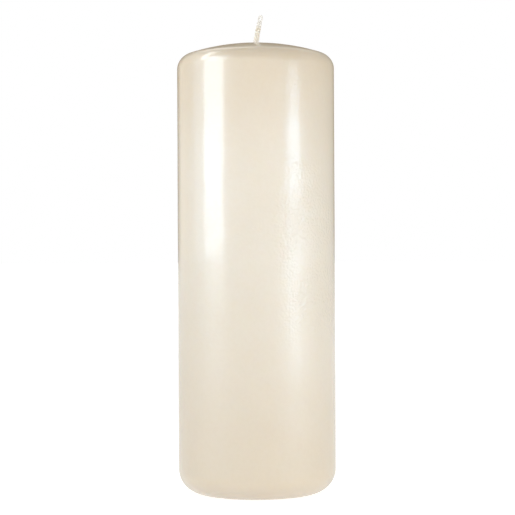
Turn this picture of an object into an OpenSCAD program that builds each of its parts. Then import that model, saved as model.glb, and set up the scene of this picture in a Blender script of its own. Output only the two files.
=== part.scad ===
/* [Candle] */
// Outside diameter of the straight round wall
candle_d = 70; // [40:1:120]
// Height from the base to the crest of the domed top
candle_h = 200; // [80:5:300]
// How far the dome's arc rises above the line where it would meet the wall
dome_rise = 6.4; // [2:0.1:15]
// Rounding between the dome and the wall
shoulder_r = 7; // [3:0.1:12]
// Rounding between the wall and the levelled base
foot_r = 10.7; // [3:0.1:14]
// Thickness of the glossy outer wax
skin_t = 1.2; // [0.6:0.1:2.5]
// Width of the outer wax left as a flat lip round the levelled base
base_lip = 1.3; // [0.5:0.1:3]

/* [Wick] */
// Diameter of the braided cotton wick
wick_d = 2.2; // [1.2:0.1:4]
// Height of the wick's free end above the crest of the dome
wick_free = 13.1; // [8:0.1:20]
// How far the free end leans from upright at rest, in degrees
wick_lean = 13; // [0:1:40]
// Radius of the curve by which the free end leans over
bend_r = 8; // [4:0.5:20]
// Height of the wax-set stump that the free end bends from
stump_h = 0.7; // [0.6:0.1:2]
// Running gap between the stump and the root of the free end
root_gap = 0.05; // [0.02:0.01:0.1]
// Radius of the wax fillet round the foot of the wick
fillet_r = 1; // [0.4:0.1:3]

/* [Sustainer] */
// Diameter of the sheet-metal disc that anchors the wick
disc_d = 20; // [12:0.5:30]
// Thickness of the sheet metal
sheet_t = 0.3; // [0.2:0.05:0.6]
// Height of the crimped neck above the disc
neck_h = 5; // [2:0.5:10]
// Depth of the recess in the base that the disc sits up in
recess_h = 1.5; // [0.8:0.1:3]
// Free width between the disc's edge and the wall of its recess
recess_gap = 0.6; // [0.1:0.1:2]
// Radius of the stiffening bead pressed in the disc
bead_r = 0.45; // [0.2:0.05:0.6]

/* [Hidden] */
$fn = 128;
cut = 1;
wall_r = candle_d / 2;
dome_r = (wall_r * wall_r + dome_rise * dome_rise) / (2 * dome_rise);
dome_z = candle_h - dome_r;
shoulder_x = wall_r - shoulder_r;
shoulder_z = dome_z + sqrt(pow(dome_r - shoulder_r, 2) - pow(shoulder_x, 2));
meet = shoulder_x / (dome_r - shoulder_r);
foot_x = wall_r - foot_r;
core_foot_r = foot_x - base_lip;

wick_r = wick_d / 2;
fillet_x = wick_r + fillet_r;
fillet_z = dome_z + sqrt(pow(dome_r + fillet_r, 2) - pow(fillet_x, 2));
fillet_end = fillet_x * dome_r / (dome_r + fillet_r);
fillet_h = 0.55 * fillet_r;
root_r = wick_r + 0.05;
knot_r = wick_r + 0.15;
pivot_z = candle_h + stump_h + root_gap + root_r;
straight = (candle_h + wick_free - knot_r - pivot_z - bend_r * sin(wick_lean)) / cos(wick_lean);

disc_z = recess_h - sheet_t;
neck_r = wick_r + sheet_t;
neck_top = recess_h + neck_h;
bead_x = disc_d / 2 * 0.62;

// Half the candle's outline, drawn t inside its outer surface
module outline(t) {
    intersection() {
        translate([0, dome_z]) circle(r = dome_r - t);
        translate([0, shoulder_z]) square([meet * (dome_r - t), candle_h]);
    }
    intersection() {
        translate([shoulder_x, shoulder_z]) circle(r = shoulder_r - t);
        translate([meet * (dome_r - t), shoulder_z]) square([shoulder_r, shoulder_r]);
    }
    translate([0, foot_r]) square([wall_r - t, shoulder_z - foot_r]);
    translate([0, t]) square([foot_x, foot_r - t]);
    intersection() {
        translate([foot_x, foot_r]) circle(r = foot_r - t);
        translate([foot_x, 0]) square([foot_r, foot_r]);
    }
}

// The pressed body's outline: it reaches the floor inside the skin's lip
module core_outline() {
    outline(skin_t);
    square([core_foot_r, 2 * skin_t]);
}

// Wax drawn up round the foot of the wick
module wick_fillet() {
    difference() {
        translate([0, candle_h - skin_t / 2]) square([fillet_end, skin_t / 2 + fillet_h]);
        translate([fillet_x, fillet_z]) circle(r = fillet_r);
    }
}

module wax_core() {
    color([0.93, 0.90, 0.84])
    rotate_extrude() difference() {
        core_outline();
        translate([0, -cut]) square([wick_r, candle_h + 2 * cut]);
        translate([0, -cut]) square([neck_r, neck_top + cut]);
        translate([0, -cut]) square([disc_d / 2 + recess_gap, recess_h + cut]);
    }
}

module overdip_skin() {
    color([0.93, 0.89, 0.81])
    rotate_extrude() difference() {
        union() {
            outline(0);
            wick_fillet();
        }
        core_outline();
        translate([0, candle_h / 2]) square([wick_r, candle_h]);
    }
}

module wick() {
    color([0.90, 0.87, 0.78])
    translate([0, 0, disc_z - sheet_t])
        cylinder(r = wick_r, h = candle_h + stump_h - disc_z + sheet_t);
}

// Everything is placed from the end of the curve, where the straight part begins
module wick_tip() {
    color([0.95, 0.93, 0.89])
    translate([bend_r * (1 - cos(wick_lean)), 0, pivot_z + bend_r * sin(wick_lean)])
        rotate([0, wick_lean, 0]) {
            cylinder(r = wick_r, h = straight);
            translate([0, 0, straight]) sphere(r = knot_r);
            translate([bend_r, 0, 0]) rotate([-90, 0, 180])
                rotate_extrude(angle = wick_lean) translate([bend_r, 0]) circle(r = wick_r);
            translate([bend_r * (1 - cos(wick_lean)), 0, -bend_r * sin(wick_lean)])
                sphere(r = root_r);
        }
}

module wick_sustainer() {
    color([0.72, 0.72, 0.70])
    rotate_extrude() difference() {
        union() {
            translate([0, disc_z]) square([disc_d / 2, sheet_t]);
            translate([0, disc_z]) square([neck_r, neck_top - disc_z]);
            intersection() {
                translate([bead_x, disc_z]) circle(r = bead_r);
                translate([bead_x - cut, disc_z - cut]) square([2 * cut, cut]);
            }
        }
        translate([0, -cut]) square([wick_r, neck_top + 2 * cut]);
    }
}

wax_core();
overdip_skin();
wick();
wick_tip();
wick_sustainer();
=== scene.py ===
# %% [markdown]
# # A domed pillar candle
# A pillar candle is pressed from grains of cold paraffin, drilled for its wick, and then dipped
# in hard, clear wax that gives it a glossy ivory skin. These cells build the pieces that are
# seen: the dipped skin, the pressed body under it, the braided wick and its metal anchor.
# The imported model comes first, because every piece has to sit and move with its bodies.

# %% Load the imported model
import math

import bpy
from mathutils import Matrix, Vector


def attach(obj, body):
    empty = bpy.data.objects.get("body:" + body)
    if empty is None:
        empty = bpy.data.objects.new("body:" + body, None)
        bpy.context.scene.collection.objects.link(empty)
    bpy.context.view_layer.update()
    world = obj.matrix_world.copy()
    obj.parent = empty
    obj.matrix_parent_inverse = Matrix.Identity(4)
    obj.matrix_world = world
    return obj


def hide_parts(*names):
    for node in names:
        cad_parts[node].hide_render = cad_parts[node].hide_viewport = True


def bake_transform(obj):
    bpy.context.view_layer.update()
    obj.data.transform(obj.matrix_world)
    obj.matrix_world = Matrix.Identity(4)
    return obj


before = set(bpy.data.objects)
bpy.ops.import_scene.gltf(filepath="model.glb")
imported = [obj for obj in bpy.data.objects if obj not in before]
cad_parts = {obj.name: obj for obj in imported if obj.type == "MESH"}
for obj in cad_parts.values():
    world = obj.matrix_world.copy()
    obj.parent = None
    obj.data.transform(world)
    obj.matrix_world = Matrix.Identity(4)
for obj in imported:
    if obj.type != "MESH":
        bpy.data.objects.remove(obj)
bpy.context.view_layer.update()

# %% [markdown]
# ## Sizes
# A candle is a turned shape, so a few radii and heights say all of it. The dome is the cap of a
# large ball, and the shoulder and the foot are small arcs that touch their neighbours without a
# crease. The same handful of sizes drives the CAD model, so both outlines are the same.

# %% Name the sizes of the candle
MM = 0.001
WALL_R = 35.0
CREST = 200.0
DOME_RISE = 6.4
SHOULDER_R = 7.0
FOOT_R = 10.7
SKIN = 1.2
LIP = 1.3
WICK_R = 1.1

dome_r = (WALL_R**2 + DOME_RISE**2) / (2 * DOME_RISE)
dome_z = CREST - dome_r
shoulder_x = WALL_R - SHOULDER_R
shoulder_z = dome_z + math.sqrt((dome_r - SHOULDER_R) ** 2 - shoulder_x**2)
shoulder_angle = math.degrees(math.acos(shoulder_x / (dome_r - SHOULDER_R)))
foot_x = WALL_R - FOOT_R
core_foot = foot_x - LIP
print(f"dome radius {dome_r:.1f} mm, wall from {FOOT_R} to {shoulder_z:.1f} mm")

# %% [markdown]
# ## Helpers for modelling by hand
# Edit-mode tools act on everything that is selected, so each step starts from a clean selection.
# `work_on` makes one object the only one selected, and `pick` then selects points by their place.

# %% Select one object, or some of its points
def work_on(thing):
    if bpy.context.object is not None and bpy.context.object.mode != "OBJECT":
        bpy.ops.object.mode_set(mode="OBJECT")
    bpy.ops.object.select_all(action="DESELECT")
    thing.select_set(True)
    bpy.context.view_layer.objects.active = thing


def pick(thing, wanted):
    """Select the points of a mesh, in edit mode, whose place passes the test `wanted`."""
    bpy.ops.object.mode_set(mode="EDIT")
    bpy.ops.mesh.select_mode(type="VERT")
    bpy.ops.mesh.select_all(action="DESELECT")
    bpy.ops.object.mode_set(mode="OBJECT")
    for point in thing.data.vertices:
        point.select = bool(wanted(point.co))
    bpy.ops.object.mode_set(mode="EDIT")


def arc(cx, cz, radius, first, last, steps):
    """Points of an arc in the X-Z plane, from one angle to another, in millimetres."""
    turn = [math.radians(first + (last - first) * i / steps) for i in range(steps + 1)]
    return [(cx + radius * math.cos(a), cz + radius * math.sin(a)) for a in turn]


# %% [markdown]
# ## Turning a piece on the lathe
# Dipped wax, a pressed core and a stamped disc are all turned shapes. One way is to bevel and
# inset a cylinder until it looks right. Another is to draw half of the outline and spin it, which
# keeps every radius exact, so that way is used: a single point is extruded from place to place
# round a closed outline, and the Spin tool sweeps it once round the candle's axis.

# %% Spin a closed outline into a solid
def turned(name, outline, steps):
    bpy.ops.object.select_all(action="DESELECT")
    bpy.ops.mesh.primitive_plane_add(size=MM, location=(0, 0, 0))
    piece = bpy.context.object
    piece.name = piece.data.name = name
    bpy.ops.object.mode_set(mode="EDIT")
    bpy.ops.mesh.select_all(action="SELECT")
    bpy.ops.mesh.merge(type="CENTER")
    x, z = outline[0]
    bpy.ops.transform.translate(value=(x * MM, 0, z * MM))
    for nx, nz in outline[1:]:
        step = ((nx - x) * MM, 0, (nz - z) * MM)
        bpy.ops.mesh.extrude_region_move(TRANSFORM_OT_translate={"value": step})
        x, z = nx, nz
    bpy.ops.mesh.select_all(action="SELECT")
    bpy.ops.mesh.edge_face_add()
    bpy.ops.mesh.delete(type="ONLY_FACE")
    bpy.ops.mesh.select_all(action="SELECT")
    bpy.ops.mesh.spin(steps=steps, angle=2 * math.pi, center=(0, 0, 0), axis=(0, 0, 1))
    bpy.ops.mesh.select_all(action="SELECT")
    bpy.ops.mesh.remove_doubles(threshold=1e-6)
    bpy.ops.mesh.normals_make_consistent(inside=False)
    bpy.ops.object.mode_set(mode="OBJECT")
    return piece


def smooth(piece, degrees=35):
    work_on(piece)
    bpy.ops.object.shade_smooth_by_angle(angle=math.radians(degrees))


def tell(piece):
    size = ", ".join(f"{d / MM:.1f}" for d in piece.dimensions)
    print(f"{piece.name}: {size} mm, {len(piece.data.polygons)} faces")


# %% [markdown]
# ## The dipped skin
# The skin is one to two millimetres of hard wax. It creeps a little way up the wick, which makes
# the small fillet on the crest, and it is cut back to a flat lip when the base is levelled on a
# hot plate. The outline runs down its outside and back up its inside, so it is a real shell.

# %% Turn the skin
fillet_r = 1.0
fillet_x = WICK_R + fillet_r
fillet_z = dome_z + math.sqrt((dome_r + fillet_r) ** 2 - fillet_x**2)
fillet_angle = math.degrees(math.asin(fillet_x / (dome_r + fillet_r)))

outside = arc(fillet_x, fillet_z, fillet_r, 205, 270 - fillet_angle, 8)
outside += arc(0, dome_z, dome_r, 90 - fillet_angle, shoulder_angle, 22)[1:]
outside += arc(shoulder_x, shoulder_z, SHOULDER_R, shoulder_angle, 0, 12)[1:]
wall_steps = 72
for i in range(1, wall_steps + 1):
    outside.append((WALL_R, shoulder_z + (FOOT_R - shoulder_z) * i / wall_steps))
outside += arc(foot_x, FOOT_R, FOOT_R, 0, -90, 14)[1:]
outside += [(core_foot, 0.0)]

inside = [(core_foot, SKIN)]
inside += arc(foot_x, FOOT_R, FOOT_R - SKIN, -90, 0, 8)
inside += arc(shoulder_x, shoulder_z, SHOULDER_R - SKIN, 0, shoulder_angle, 6)
inside += arc(0, dome_z, dome_r - SKIN, shoulder_angle, 90, 6)[1:-1]
inside += [(WICK_R, dome_z + dome_r - SKIN)]

skin = turned("dipped_skin", outside + inside, 192)
tell(skin)

# %% [markdown]
# ## Unevenness left by the dip
# Dipped wax is never quite true: it runs down in broad, faint streaks and sets in shallow hollows,
# which is what makes the reflections in it waver. Two Displace modifiers push the outer wall by
# less than a tenth of a millimetre. A vertex group fades them out at the foot, so that the candle
# still stands flat, and round the wick.

# %% Let the outer wall waver a little
def fade(value, low, high):
    t = min(max((value - low) / (high - low), 0.0), 1.0)
    return t * t * (3 - 2 * t)


def turned_place(point):
    """The radius and the height of a point of a turned piece, in millimetres."""
    return math.hypot(point.co.x, point.co.y) / MM, point.co.z / MM


uneven = skin.vertex_groups.new(name="uneven")
for point in skin.data.vertices:
    r, z = turned_place(point)
    crown = math.sqrt(max(dome_r**2 - r**2, 0)) + dome_z
    on_wall = r > WALL_R - SKIN / 2
    on_dome = z > crown - SKIN / 2
    on_foot = z < FOOT_R and math.hypot(r - foot_x, z - FOOT_R) > FOOT_R - SKIN / 2
    if on_wall or on_dome or on_foot or z < SKIN / 2:
        uneven.add([point.index], fade(z, 1.5, 14) * fade(r, 3, 9), "REPLACE")

stretch = bpy.data.objects.new("stretch", None)
bpy.context.collection.objects.link(stretch)
stretch.scale = (1, 1, 6)
work_on(skin)
for label, size, depth, guide in (("hollows", 0.020, 0.00010, None), ("runs", 0.009, 0.00007, stretch)):
    pattern = bpy.data.textures.new(label, "CLOUDS")
    pattern.noise_scale = size
    push = skin.modifiers.new(label, "DISPLACE")
    push.texture, push.strength, push.mid_level, push.vertex_group = pattern, depth, 0.5, "uneven"
    if guide is not None:
        push.texture_coords, push.texture_coords_object = "OBJECT", guide
    bpy.ops.object.modifier_apply(modifier=label)
bpy.data.objects.remove(stretch)
smooth(skin)
tell(skin)

# %% [markdown]
# ## The pressed core
# Under the skin the candle is pressed from grains of wax, and on the levelled base the grains
# show as a dull, pitted disc. The core could be left as the CAD solid with a bumpy finish, but
# pits that only exist in a finish vanish in the mesh, so the base is divided into fine rings and
# the pits are pushed up into it, never below the floor. A shallow recess takes the wick's anchor.

# %% Turn the core and pit its base
RECESS_R = 10.6
RECESS = 1.5
NECK_R = 1.4
NECK_TOP = 6.5
RIM = 0.8

rings = 44
base = [(core_foot + (RECESS_R - core_foot) * i / rings, 0.0) for i in range(rings + 1)]
ceiling = [(RECESS_R + (NECK_R - RECESS_R) * i / 16, RECESS) for i in range(17)]
outline = base + ceiling + [(NECK_R, NECK_TOP), (WICK_R, NECK_TOP), (WICK_R, dome_z + dome_r - SKIN)]
outline += arc(0, dome_z, dome_r - SKIN, 90, shoulder_angle, 6)[1:]
outline += arc(shoulder_x, shoulder_z, SHOULDER_R - SKIN, shoulder_angle, 0, 6)[1:]
outline += arc(foot_x, FOOT_R, FOOT_R - SKIN, 0, -90, 8)
outline += [(core_foot, SKIN)]
core = turned("pressed_core", outline, 192)

pitted = core.vertex_groups.new(name="pitted")
for point in core.data.vertices:
    r, z = turned_place(point)
    if z < 0.01:
        inward = 1 - fade(r, core_foot - RIM, core_foot)
        pitted.add([point.index], fade(r, RECESS_R, RECESS_R + RIM) * inward, "REPLACE")
work_on(core)
pits = (("grains", "VORONOI", 0.0016, 0.00016), ("press", "CLOUDS", 0.004, 0.00010))
for label, kind, size, depth in pits:
    pattern = bpy.data.textures.new(label, kind)
    pattern.noise_scale = size
    push = core.modifiers.new(label, "DISPLACE")
    push.texture, push.strength, push.mid_level, push.vertex_group = pattern, depth, 0.0, "pitted"
    push.direction = "Z"
    bpy.ops.object.modifier_apply(modifier=label)
smooth(core)
tell(core)

# %% [markdown]
# ## The wick's anchor
# A stamped disc of tinned sheet sits up in the recess. A pressed bead stiffens it, its edge is
# rounded by the punch, and its neck is squeezed on the wick with pliers. The section of the sheet
# is turned, and the crimp is made as the pliers make it, by flattening the middle of the neck.

# %% Turn the anchor and crimp its neck
SHEET = 0.3
DISC_R = 10.0
BEAD_X = 6.2
disc_z = RECESS - SHEET
under = arc(DISC_R - SHEET / 2, disc_z + SHEET / 2, SHEET / 2, 90, -90, 6)
under += arc(BEAD_X, disc_z, 0.45, 0, -180, 10)
under += arc(1.75, disc_z + 0.65, 0.65, -90, -180, 6)
upper = [(WICK_R, NECK_TOP - 1.5 * i) for i in range(3, 0, -1)]
upper += arc((WICK_R + NECK_R) / 2, NECK_TOP - SHEET / 2, SHEET / 2, 180, 0, 6)
upper += [(NECK_R, NECK_TOP - 1.5 * i) for i in range(1, 4)]
upper += arc(NECK_R + 0.35, RECESS + 0.35, 0.35, 180, 270, 4)
upper += arc(BEAD_X, RECESS, 0.35, 180, 360, 8)
anchor = turned("wick_anchor", under + upper, 96)
pick(anchor, lambda co: 2.9 * MM < co.z < 5.2 * MM)
bpy.ops.transform.resize(value=(0.86, 1.0, 1.0))
bpy.ops.object.mode_set(mode="OBJECT")
smooth(anchor, 40)
tell(anchor)

# %% [markdown]
# ## The path of the wick
# A flat-braided wick is three bundles of cotton yarn. Each bundle swings from side to side once
# while it goes to the front and back twice, a third of a turn behind its neighbour, and that is
# all that a braid is. The wick runs straight up the candle and then leans over where it is free.
# At its end two bundles stay joined in a small loop, and the third is tucked in between them.

# %% Work out where each bundle runs
PITCH = 4.5
SWING = 0.66
DEPTH = 0.40
LOOP_Z = 210.2
LOOP_ARC = 138
LOOP_STEPS = 40
LOOP_REACH = 0.70
LOOP_MIDDLE = 1.12
LOOP_RISE = 1.36
LOOP_CROSSING = 0.34
WICK_FOOT = 0.9
LEAN_FROM = 199.3
FREE_LENGTH = 13.8
TIP_LEAN = 2.65
LEAN_POWER = 1.15


def lean(z):
    """How far the wick's middle stands off the axis at a height, and its slope there."""
    t = max(z - LEAN_FROM, 0.0) / FREE_LENGTH
    slope = TIP_LEAN * LEAN_POWER / FREE_LENGTH * t ** (LEAN_POWER - 1)
    return TIP_LEAN * t**LEAN_POWER, slope


def across(z, side, depth, up=0.0):
    """A point of the braid, from its place across the wick's middle at a height."""
    x, slope = lean(z)
    tilt = math.atan(slope)
    x = x + side * math.cos(tilt) + up * math.sin(tilt)
    height = z - side * math.sin(tilt) + up * math.cos(tilt)
    return Vector((x, depth, height)) * MM


def braided(z, third):
    """Where one of the three bundles lies in the braid at a height: aside, and to the back."""
    swing = 2 * math.pi * ((z - LOOP_Z) / PITCH + third / 3)
    return SWING * math.sin(swing), DEPTH * math.sin(2 * swing)


def climb(third, top):
    """Points up one bundle: coarse where it is buried, fine where it can be seen."""
    points, z = [], WICK_FOOT
    while z < top:
        points.append(across(z, *braided(z, third)))
        buried = 4 <= z <= 196
        z += 0.30 if buried else 0.12
    return points


left, right, middle = climb(2, 209.4), climb(1, 209.4), climb(0, 210.9)
loop = []
for i in range(LOOP_STEPS + 1):
    turn = math.radians(-LOOP_ARC + 2 * LOOP_ARC * i / LOOP_STEPS)
    side, up = LOOP_REACH * math.sin(turn), LOOP_MIDDLE + LOOP_RISE * math.cos(turn)
    loop.append(across(LOOP_Z, side, -LOOP_CROSSING * math.sin(turn / 1.8), up))
print(f"bundle {len(left)} points, loop top at {max(p.z for p in loop) / MM:.1f} mm")

# %% [markdown]
# ## Cotton bundles
# Each bundle is itself twisted from a few plies, which show as fine slanting ridges. Modelling the
# plies one by one would cost far more faces than they are worth, so a bundle is a path with a
# lobed section that turns as it climbs. The section is drawn once and shared by both paths.

# %% Sweep a lobed section along each path
def closed_section(name, radius, lobes, depth, count):
    bpy.ops.curve.primitive_nurbs_circle_add(radius=radius)
    section = bpy.context.object
    section.name = name
    ring = section.data.splines.new("POLY")
    ring.points.add(count - 1)
    for i, point in enumerate(ring.points):
        a = 2 * math.pi * i / count
        r = radius * (1 + depth * math.cos(lobes * a))
        point.co = (r * math.cos(a), r * math.sin(a), 0, 1)
    ring.use_cyclic_u = True
    section.data.splines.remove(section.data.splines[0])
    return section


def swept(name, points, section, ply_turn, widths):
    bpy.ops.curve.primitive_nurbs_path_add()
    strand = bpy.context.object
    strand.name = name
    path = strand.data.splines.new("POLY")
    strand.data.splines.remove(strand.data.splines[0])
    path.points.add(len(points) - 1)
    run = 0.0
    for i, (point, at) in enumerate(zip(path.points, points)):
        run += (at - points[i - 1]).length if i else 0.0
        point.co = (*at, 1)
        point.tilt = 2 * math.pi * run / ply_turn
        point.radius = widths(i / (len(points) - 1))
    strand.data.dimensions = "3D"
    strand.data.twist_mode = "MINIMUM"
    strand.data.bevel_mode = "OBJECT"
    strand.data.bevel_object = section
    strand.data.use_fill_caps = True
    work_on(strand)
    bpy.ops.object.convert(target="MESH")
    strand = bpy.context.object
    strand.data.name = name
    bpy.ops.object.mode_set(mode="EDIT")
    bpy.ops.mesh.select_all(action="SELECT")
    bpy.ops.mesh.normals_make_consistent(inside=False)
    bpy.ops.object.mode_set(mode="OBJECT")
    lay_fibres(strand, points)
    return strand


def lay_fibres(strand, points):
    """A UV map that follows the yarn: U goes round a bundle with its twist, V along it in millimetres."""
    count = len(strand.data.vertices) // len(points)
    run = [0.0]
    for a, b in zip(points, points[1:]):
        run.append(run[-1] + (b - a).length)
    uv = strand.data.uv_layers.new(name="yarn")
    for corner in strand.data.loops:
        ring, spoke = divmod(corner.vertex_index, count)
        along = run[min(ring, len(run) - 1)]
        uv.data[corner.index].uv = (spoke / count, along / MM)


def bridge(first, second, steps=6):
    """Ease from the end of one run of points into the start of the next."""
    a, b = first[-1], second[0]
    da, db = first[-1] - first[-2], second[1] - second[0]
    reach = (b - a).length
    out = []
    for i in range(1, steps):
        t = i / steps
        h = [2 * t**3 - 3 * t**2 + 1, t**3 - 2 * t**2 + t, -2 * t**3 + 3 * t**2, t**3 - t**2]
        out.append(a * h[0] + da.normalized() * reach * h[1] + b * h[2] + db.normalized() * reach * h[3])
    return first + out + second


PLY_TURN = 2.4
BUNDLE_R = 0.48
plies = closed_section("ply_section", BUNDLE_R * MM, 4, 0.09, 24)
looped = bridge(bridge(left, loop), right[::-1])
n_left, n_loop = len(left), len(loop)


def loop_width(t):
    """The bundles thin a little where they part to form the loop."""
    i = t * (len(looped) - 1)
    inside = fade(i, n_left - 14, n_left + 6) * (1 - fade(i, n_left + n_loop + 4, n_left + n_loop + 24))
    return 1 - 0.12 * inside


def tucked_width(t):
    """The third bundle tapers where its end is tucked in."""
    return 1 - 0.55 * fade(t, 0.985, 1.0)


loop_strand = swept("wick_looped_bundle", looped, plies, PLY_TURN * MM, loop_width)
mid_strand = swept("wick_tucked_bundle", middle, plies, PLY_TURN * MM, tucked_width)
bpy.data.objects.remove(plies)
for strand in (loop_strand, mid_strand):
    smooth(strand, 60)
    tell(strand)

# %% [markdown]
# ## Wax in the foot of the wick
# The candle is dipped with its wick on, so the lowest few millimetres of the braid are filled with
# wax and look smooth and creamy, while the end above stays dry and white. The same bundles are
# copied and cut to that length, and a plain oval rod is laid up their middle to fill the gaps and
# to flare into the skin at the crest. A voxel remesh fuses them, and smoothing lets only a faint
# trace of the braid show through.

# %% Fuse a copy of the bundles and a filler into a wax coat
WAX_FROM = 199.2
WAX_TO = 207.2
FILL_TO = 205.5
FILL_WIDTH = 1.06
FILL_DEPTH = 0.94
COLLAR = 0.34
COLLAR_FROM = 200.2
COLLAR_TOP = 201.3
NO_TWIST = 1e6

copies = []
for strand in (loop_strand, mid_strand):
    work_on(strand)
    bpy.ops.object.duplicate()
    copies.append(bpy.context.object)
rod = closed_section("fill_section", MM, 2, 0.0, 24)
rod_steps = 40
rod_foot = WAX_FROM - 0.4
rod_heights = [rod_foot + (FILL_TO - rod_foot) * i / rod_steps for i in range(rod_steps + 1)]


def fill_width(t):
    """The filler swells to a collar where it leaves the crest, and thins out towards its top."""
    z = rod_heights[round(t * rod_steps)]
    collar = 1 + COLLAR * (1 - fade(z, COLLAR_FROM, COLLAR_TOP))
    return FILL_DEPTH * collar * (1 - 0.45 * fade(t, 0.7, 1.0))


filler = swept("filler", [across(z, 0, 0) for z in rod_heights], rod, NO_TWIST, fill_width)
bpy.data.objects.remove(rod)
for point in filler.data.vertices:
    axis_x = lean(point.co.z / MM)[0] * MM
    point.co.x = axis_x + (point.co.x - axis_x) * FILL_WIDTH / FILL_DEPTH
copies.append(filler)
work_on(copies[0])
for copy in copies[1:]:
    copy.select_set(True)
bpy.ops.object.join()
coat = bpy.context.object
coat.name = coat.data.name = "wick_wax"
bpy.ops.object.mode_set(mode="EDIT")
for height, lower in ((WAX_FROM, True), (WAX_TO, False)):
    bpy.ops.mesh.select_all(action="SELECT")
    bpy.ops.mesh.bisect(plane_co=(0, 0, height * MM), plane_no=(0.12, 0.1, 1), use_fill=True,
                        clear_inner=lower, clear_outer=not lower)
bpy.ops.object.mode_set(mode="OBJECT")
fuse = coat.modifiers.new("fuse", "REMESH")
fuse.mode, fuse.voxel_size = "VOXEL", 0.09 * MM
ease = coat.modifiers.new("ease", "SMOOTH")
ease.factor, ease.iterations = 0.6, 42
swell = coat.modifiers.new("swell", "DISPLACE")
swell.strength, swell.mid_level = 0.08 * MM, 0.0
for label in ("fuse", "ease", "swell"):
    bpy.ops.object.modifier_apply(modifier=label)
smooth(coat, 60)
tell(coat)

# %% [markdown]
# ## Shared finishes
# Wax is never one flat colour: it clouds where it cooled slowly and pales where it set fast. The
# group below gives that mottling to every kind of wax here, each with its own colours and scale.
# A second group gives the height of a dipped surface, a faint orange peel over slower ripples.

# %% Build the shared node groups
def group(name, inputs, outputs):
    tree = bpy.data.node_groups.new(name, "ShaderNodeTree")
    for label, kind, value in inputs:
        socket = tree.interface.new_socket(label, in_out="INPUT", socket_type="NodeSocket" + kind)
        if value is not None:
            socket.default_value = value
    for label, kind in outputs:
        tree.interface.new_socket(label, in_out="OUTPUT", socket_type="NodeSocket" + kind)
    return tree, tree.nodes.new("NodeGroupInput"), tree.nodes.new("NodeGroupOutput")


def noise(tree, vector, scale, detail=2.0, rough=0.5):
    node = tree.nodes.new("ShaderNodeTexNoise")
    node.inputs["Detail"].default_value = detail
    node.inputs["Roughness"].default_value = rough
    tree.links.new(vector, node.inputs["Vector"])
    if isinstance(scale, (int, float)):
        node.inputs["Scale"].default_value = scale
    else:
        tree.links.new(scale, node.inputs["Scale"])
    return node.outputs["Fac"]


def spread(tree, value, low, high, to_low=0.0, to_high=1.0):
    node = tree.nodes.new("ShaderNodeMapRange")
    node.interpolation_type = "SMOOTHSTEP"
    for label, number in (("From Min", low), ("From Max", high), ("To Min", to_low), ("To Max", to_high)):
        node.inputs[label].default_value = number
    tree.links.new(value, node.inputs["Value"])
    return node.outputs["Result"]


def mixed(tree, factor, a, b, blend="MIX"):
    node = tree.nodes.new("ShaderNodeMix")
    node.data_type, node.blend_type = "RGBA", blend
    for socket, value in ((node.inputs["Factor"], factor), (node.inputs[6], a), (node.inputs[7], b)):
        if hasattr(value, "is_output"):
            tree.links.new(value, socket)
        else:
            socket.default_value = value
    return node.outputs[2]


def sums(tree, how, a, b):
    node = tree.nodes.new("ShaderNodeMath")
    node.operation = how
    for socket, value in zip(node.inputs, (a, b)):
        if hasattr(value, "is_output"):
            tree.links.new(value, socket)
        else:
            socket.default_value = value
    return node.outputs[0]


wax_clouding, enter, leave = group(
    "wax_clouding",
    [("Place", "Vector", None),
     ("Light", "Color", (0.8, 0.75, 0.65, 1)), ("Deep", "Color", (0.7, 0.6, 0.5, 1)),
     ("Cloud Scale", "Float", 40.0), ("Fleck Scale", "Float", 700.0), ("Fleck Strength", "Float", 0.3)],
    [("Color", "Color")])
clouds = noise(wax_clouding, enter.outputs["Place"], enter.outputs["Cloud Scale"], 3.0)
flecks = noise(wax_clouding, enter.outputs["Place"], enter.outputs["Fleck Scale"], 2.0)
cloud = sums(wax_clouding, "MULTIPLY", spread(wax_clouding, clouds, 0.3, 0.72), 0.7)
fleck = spread(wax_clouding, flecks, 0.35, 0.7)
fleck = sums(wax_clouding, "MULTIPLY", fleck, enter.outputs["Fleck Strength"])
both = sums(wax_clouding, "ADD", cloud, fleck)
clouded = mixed(wax_clouding, both, enter.outputs["Light"], enter.outputs["Deep"])
wax_clouding.links.new(clouded, leave.inputs["Color"])

dip_relief, enter, leave = group(
    "dip_relief",
    [("Place", "Vector", None),
     ("Peel Scale", "Float", 900.0), ("Peel", "Float", 0.3), ("Ripple Scale", "Float", 90.0)],
    [("Height", "Float"), ("Patch", "Float")])
peel = noise(dip_relief, enter.outputs["Place"], enter.outputs["Peel Scale"], 0.6, 0.45)
ripple = noise(dip_relief, enter.outputs["Place"], enter.outputs["Ripple Scale"], 1.0)
patch = spread(dip_relief, noise(dip_relief, enter.outputs["Place"], 28.0, 2.0), 0.38, 0.62)
patchy = sums(dip_relief, "ADD", patch, 0.3)
peeled = sums(dip_relief, "MULTIPLY", sums(dip_relief, "MULTIPLY", peel, enter.outputs["Peel"]), patchy)
dip_relief.links.new(sums(dip_relief, "ADD", peeled, ripple), leave.inputs["Height"])
dip_relief.links.new(patch, leave.inputs["Patch"])
print("node groups:", [g.name for g in bpy.data.node_groups])

# %% [markdown]
# ## Wax, cotton and tin
# The skin is a soft ivory under a clear, sharper gloss, so the shader's coat does the gloss and
# its base keeps a duller sheen below it. Its colour is darkened towards the crown and towards the
# foot, and a little more along its lowest edge, which is painted shade. Its orange peel is
# stronger in one patch on the right of the wall.
# The cotton is rough and has a little sheen from loose fibres, and turns creamy where wax has
# soaked in. The tin is dull metal with a faint bloom.

# %% Make the materials
def material(name):
    finish = bpy.data.materials.new(name)
    finish.use_nodes = True
    tree = finish.node_tree
    shader = tree.nodes["Principled BSDF"]
    place = tree.nodes.new("ShaderNodeTexCoord").outputs["Object"]
    return finish, tree, shader, place


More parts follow.
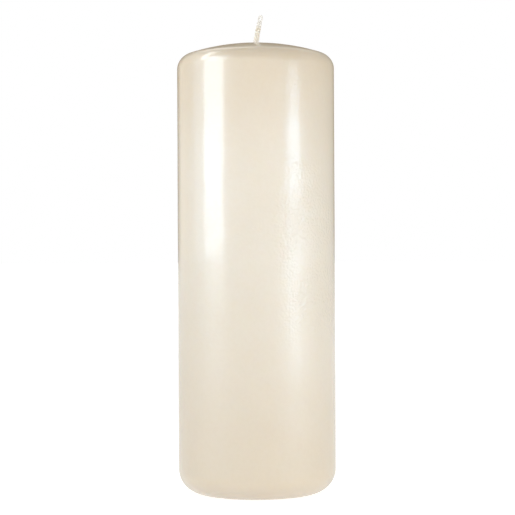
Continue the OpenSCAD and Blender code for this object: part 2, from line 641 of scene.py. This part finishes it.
def placed(tree, node_group, place, **values):
    node = tree.nodes.new("ShaderNodeGroup")
    node.node_tree = node_group
    tree.links.new(place, node.inputs["Place"])
    for label, value in values.items():
        node.inputs[label.replace("_", " ")].default_value = value
    return node


def bumped(tree, shader, height, distance, strength=1.0, sockets=("Normal",)):
    node = tree.nodes.new("ShaderNodeBump")
    node.inputs["Distance"].default_value = distance
    node.inputs["Strength"].default_value = strength
    tree.links.new(height, node.inputs["Height"])
    for socket in sockets:
        tree.links.new(node.outputs["Normal"], shader.inputs[socket])


ivory, tree, shader, place = material("glossy_ivory_wax")
tint = placed(tree, wax_clouding, place, Light=(0.835, 0.782, 0.690, 1), Deep=(0.805, 0.742, 0.635, 1),
              Cloud_Scale=26.0, Fleck_Scale=520.0, Fleck_Strength=0.25)
relief = placed(tree, dip_relief, place, Peel_Scale=950.0, Ripple_Scale=80.0)
height = tree.nodes.new("ShaderNodeSeparateXYZ")
tree.links.new(place, height.inputs[0])
on_right = spread(tree, height.outputs["X"], 0.004, 0.014)
above_foot = spread(tree, height.outputs["Z"], 0.045, 0.085)
below_crown = spread(tree, height.outputs["Z"], 0.158, 0.132)
rough_patch = sums(tree, "MULTIPLY", on_right, sums(tree, "MULTIPLY", above_foot, below_crown))
tree.links.new(spread(tree, rough_patch, 0.0, 1.0, 0.25, 1.7), relief.inputs["Peel"])
# Painted shade: the ivory is darkened towards the crown and towards the foot, where less light reaches the
# wax.
crown = spread(tree, height.outputs["Z"], 0.130, 0.191)
foot = spread(tree, height.outputs["Z"], 0.110, 0.0, 0.0, 0.85)
painted_shade_ends = sums(tree, "ADD", crown, foot)
clouding_with_painted_shade = mixed(tree, painted_shade_ends, tint.outputs["Color"], (0.91, 0.86, 0.79, 1), "MULTIPLY")
# Painted shade: the lowest few millimetres of the foot are darkened and greyed, as shade next to the floor.
painted_edge_shade = spread(tree, height.outputs["Z"], 0.009, 0.001)
tree.links.new(mixed(tree, painted_edge_shade, clouding_with_painted_shade, (0.88, 0.885, 0.93, 1), "MULTIPLY"), shader.inputs["Base Color"])
tree.links.new(spread(tree, relief.outputs["Patch"], 0.0, 1.0, 0.34, 0.44), shader.inputs["Roughness"])
shader.inputs["Coat Weight"].default_value = 0.8
shader.inputs["Coat Roughness"].default_value = 0.13
shader.inputs["Coat IOR"].default_value = 1.45
shader.inputs["IOR"].default_value = 1.43
shader.inputs["Subsurface Weight"].default_value = 0.25
shader.inputs["Subsurface Radius"].default_value = (1.0, 0.7, 0.4)
shader.inputs["Subsurface Scale"].default_value = 0.0007
bumped(tree, shader, relief.outputs["Height"], 0.00012, sockets=("Normal", "Coat Normal"))

pressed, tree, shader, place = material("pressed_wax")
tint = placed(tree, wax_clouding, place, Light=(0.86, 0.82, 0.74, 1), Deep=(0.72, 0.65, 0.54, 1),
              Cloud_Scale=60.0, Fleck_Scale=900.0, Fleck_Strength=0.7)
tree.links.new(tint.outputs["Color"], shader.inputs["Base Color"])
shader.inputs["Roughness"].default_value = 0.62
grains = tree.nodes.new("ShaderNodeTexVoronoi")
grains.inputs["Scale"].default_value = 950.0
tree.links.new(place, grains.inputs["Vector"])
bumped(tree, shader, grains.outputs["Distance"], 0.00012, 0.8)

cotton, tree, shader, place = material("waxed_cotton")
height = tree.nodes.new("ShaderNodeSeparateXYZ")
tree.links.new(place, height.inputs[0])
dry = spread(tree, height.outputs["Z"], 0.2062, 0.2086)
yarn = noise(tree, place, 2600.0, 3.0, 0.65)
white = mixed(tree, yarn, (0.98, 0.97, 0.945, 1), (0.90, 0.875, 0.82, 1))
soaked = mixed(tree, yarn, (0.90, 0.85, 0.75, 1), (0.76, 0.68, 0.54, 1))
tree.links.new(mixed(tree, dry, soaked, white), shader.inputs["Base Color"])
tree.links.new(spread(tree, dry, 0.0, 1.0, 0.45, 0.92), shader.inputs["Roughness"])
shader.inputs["Sheen Weight"].default_value = 0.25
shader.inputs["Sheen Roughness"].default_value = 0.5
wound = tree.nodes.new("ShaderNodeTexCoord").outputs["UV"]
stretched = tree.nodes.new("ShaderNodeMapping")
stretched.inputs["Scale"].default_value = (26.0, 1.6, 1.0)
tree.links.new(wound, stretched.inputs["Vector"])
fibres = noise(tree, stretched.outputs["Vector"], 1.0, 3.0, 0.6)
bumped(tree, shader, fibres, 0.00006, 0.9)

coating, tree, shader, place = material("wick_wax")
tint = placed(tree, wax_clouding, place, Light=(0.90, 0.855, 0.76, 1), Deep=(0.80, 0.73, 0.60, 1),
              Cloud_Scale=420.0, Fleck_Scale=2200.0, Fleck_Strength=0.4)
tree.links.new(tint.outputs["Color"], shader.inputs["Base Color"])
relief = placed(tree, dip_relief, place, Peel_Scale=2400.0, Peel=0.4, Ripple_Scale=700.0)
shader.inputs["Roughness"].default_value = 0.48
shader.inputs["Subsurface Weight"].default_value = 0.1
shader.inputs["Subsurface Radius"].default_value = (1.0, 0.7, 0.4)
shader.inputs["Subsurface Scale"].default_value = 0.0005
bumped(tree, shader, relief.outputs["Height"], 0.00004)

tin, tree, shader, place = material("dull_tinned_sheet")
bloom = spread(tree, noise(tree, place, 240.0, 4.0, 0.6), 0.35, 0.7)
dulled = mixed(tree, bloom, (0.62, 0.62, 0.60, 1), (0.50, 0.49, 0.46, 1))
tree.links.new(dulled, shader.inputs["Base Color"])
tree.links.new(spread(tree, bloom, 0.0, 1.0, 0.28, 0.46), shader.inputs["Roughness"])
shader.inputs["Metallic"].default_value = 1.0
bumped(tree, shader, noise(tree, place, 1500.0, 2.0), 0.00003, 0.5)
print("materials:", [m.name for m in bpy.data.materials])

# %% [markdown]
# ## Putting the pieces together
# Each piece gets its finish, and the CAD solids that they stand in for are hidden. The skin, the
# core and the anchor are attached to the candle's body, and the wick's bundles and its wax keep
# their places in the world.

# %% Dress the pieces and attach the turned ones to the candle's body
dressed = (
    (skin, ivory, "glossy_wax"),
    (core, pressed, "pressed_wax"),
    (anchor, tin, "tinned_steel"),
    (loop_strand, cotton, "cotton"),
    (mid_strand, cotton, "cotton"),
    (coat, coating, "glossy_wax"))
for piece, finish, slot in dressed:
    piece.data.materials.clear()
    piece.data.materials.append(finish)

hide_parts("overdip_skin")
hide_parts("wax_core")
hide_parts("wick_sustainer")
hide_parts("wick", "wick_tip")
for piece in (skin, core, anchor):
    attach(piece, "candle")
for piece in (loop_strand, mid_strand, coat):
    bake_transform(piece)

# %% [markdown]
# ## Studio
# The candle stands on a plain white floor in even light. Glossy wax shows whatever stands round
# it, so the room is kept soft and a little warm in its reflections, and dark right behind the
# candle, which gives its outline a thin deeper edge. The wall behind it is pure white. The floor
# glows, which is painted light: it is pure white to the camera in the strip before the candle, and
# evenly bright towards the candle, which it lights from below. The rest of the room is left a pale
# grey, so that bright rims of wax still stand out when the candle is seen from its sides.

# %% Set the floor and the room
bpy.ops.object.select_all(action="DESELECT")
bpy.ops.mesh.primitive_circle_add(vertices=96, radius=30.0, fill_type="NGON", location=(0, 0, 0))
floor = bpy.context.object
floor.name = "studio_floor"
floor.location.z = -0.00002
paper, tree, shader, place = material("white_paper_floor")
grain = noise(tree, place, 300.0, 2.0)
matt_white = mixed(tree, grain, (0.93, 0.93, 0.93, 1), (0.91, 0.91, 0.91, 1))
tree.links.new(matt_white, shader.inputs["Base Color"])
shader.inputs["Roughness"].default_value = 0.9
shader.inputs["Specular IOR Level"].default_value = 0.1
spot = tree.nodes.new("ShaderNodeSeparateXYZ")
tree.links.new(place, spot.inputs[0])
aside = sums(tree, "ABSOLUTE", spot.outputs["X"], 0.0)
onward = sums(tree, "MAXIMUM", sums(tree, "ADD", spot.outputs["Y"], 0.80), 0.05)
strip = spread(tree, sums(tree, "DIVIDE", aside, onward), 0.9, 0.18)
# Painted light: to the camera the floor glows pale grey, and pure white in a strip before the candle; to
# everything else it glows evenly, which lights the candle from below.
seen = tree.nodes.new("ShaderNodeLightPath").outputs["Is Camera Ray"]
painted_floor_glow = mixed(tree, strip, (0.25, 0.25, 0.25, 1), (0.64, 0.64, 0.64, 1))
tree.links.new(mixed(tree, seen, (0.42, 0.42, 0.41, 1), painted_floor_glow), shader.inputs["Emission Color"])
shader.inputs["Emission Strength"].default_value = 1.0
floor.data.materials.append(paper)

room = bpy.data.worlds.new("white_room")
bpy.context.scene.world = room
room.use_nodes = True
tree = room.node_tree
backing = tree.nodes["Background"]
path = tree.nodes.new("ShaderNodeLightPath")
toward = tree.nodes.new("ShaderNodeSeparateXYZ")
tree.links.new(tree.nodes.new("ShaderNodeTexCoord").outputs["Generated"], toward.inputs[0])
behind = spread(tree, toward.outputs["Y"], 0.84, 0.98)
mirrored_room = mixed(tree, behind, (0.42, 0.37, 0.29, 1), (0.20, 0.14, 0.07, 1))
soft = mixed(tree, path.outputs["Is Glossy Ray"], (0.49, 0.48, 0.46, 1), mirrored_room)
wall = spread(tree, toward.outputs["Y"], 0.72, 0.965)
backdrop = mixed(tree, wall, (0.70, 0.692, 0.675, 1), (1, 1, 1, 1))
tree.links.new(mixed(tree, path.outputs["Is Camera Ray"], soft, backdrop), backing.inputs["Color"])
backing.inputs["Strength"].default_value = 1.0

# %% [markdown]
# ## Softboxes and fills
# In a studio, wax is lit twice. Large fills give its matt body an even shade, and softboxes are
# there only to be mirrored as long bright streaks. A lamp can be hidden from matt or from mirrored
# light, so each is set for one job, and all of them light the candle alone, so that the floor
# stays even. A broad box and a dimmer, wider one behind it make the left streak with its soft
# outer edge, a small lamp in an umbrella makes the right one, and two cards behind and above the
# candle brighten the dome.

# %% Set the lamps
COOL = (0.70, 0.85, 1.0)
CLEAR = (0.55, 0.76, 1.0)
WARM = (1.0, 0.92, 0.78)

lit = bpy.data.collections.new("lit_by_lamps")
for piece, _, _ in dressed:
    lit.objects.link(piece)


def lamp_between(name, low_end, high_end, aim, width, glow,
                 shape="RECTANGLE", colour=(1, 1, 1), in_gloss=True, in_body=True):
    """An area lamp whose middle line runs between two places, facing the point `aim`."""
    low_end, high_end = Vector(low_end), Vector(high_end)
    middle, along = (low_end + high_end) / 2, high_end - low_end
    back = (middle - Vector(aim)).normalized()
    along = along - back * back.dot(along)
    bpy.ops.object.light_add(type="AREA")
    lamp = bpy.context.object
    lamp.name = name
    turn = Matrix((along.normalized().cross(back), along.normalized(), back)).transposed().to_4x4()
    lamp.matrix_world = Matrix.Translation(middle) @ turn
    lamp.data.shape, lamp.data.size, lamp.data.size_y = shape, width, along.length
    area = width * along.length * (math.pi / 4 if shape == "ELLIPSE" else 1)
    lamp.data.energy, lamp.data.color = glow * math.pi * area, colour
    lamp.visible_glossy, lamp.visible_diffuse = in_gloss, in_body
    lamp.light_linking.receiver_collection = lit
    return lamp


def softbox(name, azimuth, distance, low, high, width, glow, **how):
    """An upright lamp at an angle from the front, to the right if positive, between two heights."""
    a = math.radians(azimuth)
    x, y = distance * math.sin(a), -distance * math.cos(a)
    return lamp_between(name, (x, y, low), (x, y, high), (0, 0, (low + high) / 2), width, glow, **how)


mirrored = dict(in_body=False)
softbox("left_softbox", -63, 1.0, 0.12, 1.0, 0.60, 6.8, colour=COOL, **mirrored)
softbox("left_wide_box", -75, 1.0, 0.11, 1.1, 0.96, 2.0, colour=COOL, **mirrored)
softbox("left_rear_box", -124, 1.0, 0.10, 1.1, 0.77, 0.7, colour=WARM, **mirrored)
softbox("right_umbrella", 62, 1.0, -0.20, 0.22, 1.2, 1.8, shape="ELLIPSE", colour=COOL, **mirrored)
softbox("right_umbrella_rim", 55, 1.0, -0.10, 0.32, 0.9, 0.5, shape="ELLIPSE", **mirrored)
softbox("right_lamp", 56.5, 1.0, -0.08, 0.30, 0.37, 3.0, shape="ELLIPSE", colour=CLEAR, **mirrored)
softbox("right_lamp_core", 54, 1.0, 0.135, 0.285, 0.44, 5.4, shape="ELLIPSE", colour=CLEAR, **mirrored)
softbox("front_card", -10, 1.2, 0.15, 0.9, 2.86, 1.2, **mirrored)
crest = (0, 0, CREST * MM)
lamp_between("shoulder_strip", (-0.99, -0.11, 0.67), (-0.54, 0.25, 1.12), crest, 0.22, 7.5, **mirrored)
lamp_between("dome_card", (0, 0.97, 0.90), (0, 0.56, 1.26), crest, 1.4, 0.45, **mirrored)
lamp_between("dome_card_left", (-0.33, 0.91, 0.90), (-0.19, 0.53, 1.26), crest, 0.35, 0.9, **mirrored)

matt = dict(in_gloss=False)
softbox("left_fill", -80, 1.3, 0.1, 1.4, 1.5, 0.65, **matt)
lamp_between("top_left_fill", (-0.9, -0.9, 1.4), (-0.9, 0.5, 1.4), crest, 1.2, 0.50, **matt)
softbox("front_fill", 0, 1.5, 0.0, 0.5, 1.73, 1.4, **matt)
softbox("right_fill", 58, 1.3, 0.0, 0.35, 2.9, 2.0, **matt)
softbox("rear_fill", 180, 1.5, 0.0, 1.4, 2.0, 0.7, **matt)

# %% [markdown]
# ## Camera
# The candle is seen level, from about three and a half times its own height away, with its middle
# at the centre of the frame. A long lens keeps its sides nearly upright.

# %% Place the camera
view = bpy.data.cameras.new("camera")
camera = bpy.data.objects.new("camera", view)
bpy.context.collection.objects.link(camera)
view.lens, view.sensor_width = 114.5, 36.0
view.clip_start, view.clip_end = 0.01, 50.0
slight_roll = 0.0047
camera.location = (0.0005, -0.7324, 0.1047)
camera.rotation_euler = (math.radians(90), slight_roll, 0)
bpy.context.scene.camera = camera
bpy.context.scene.view_settings.view_transform = "Standard"
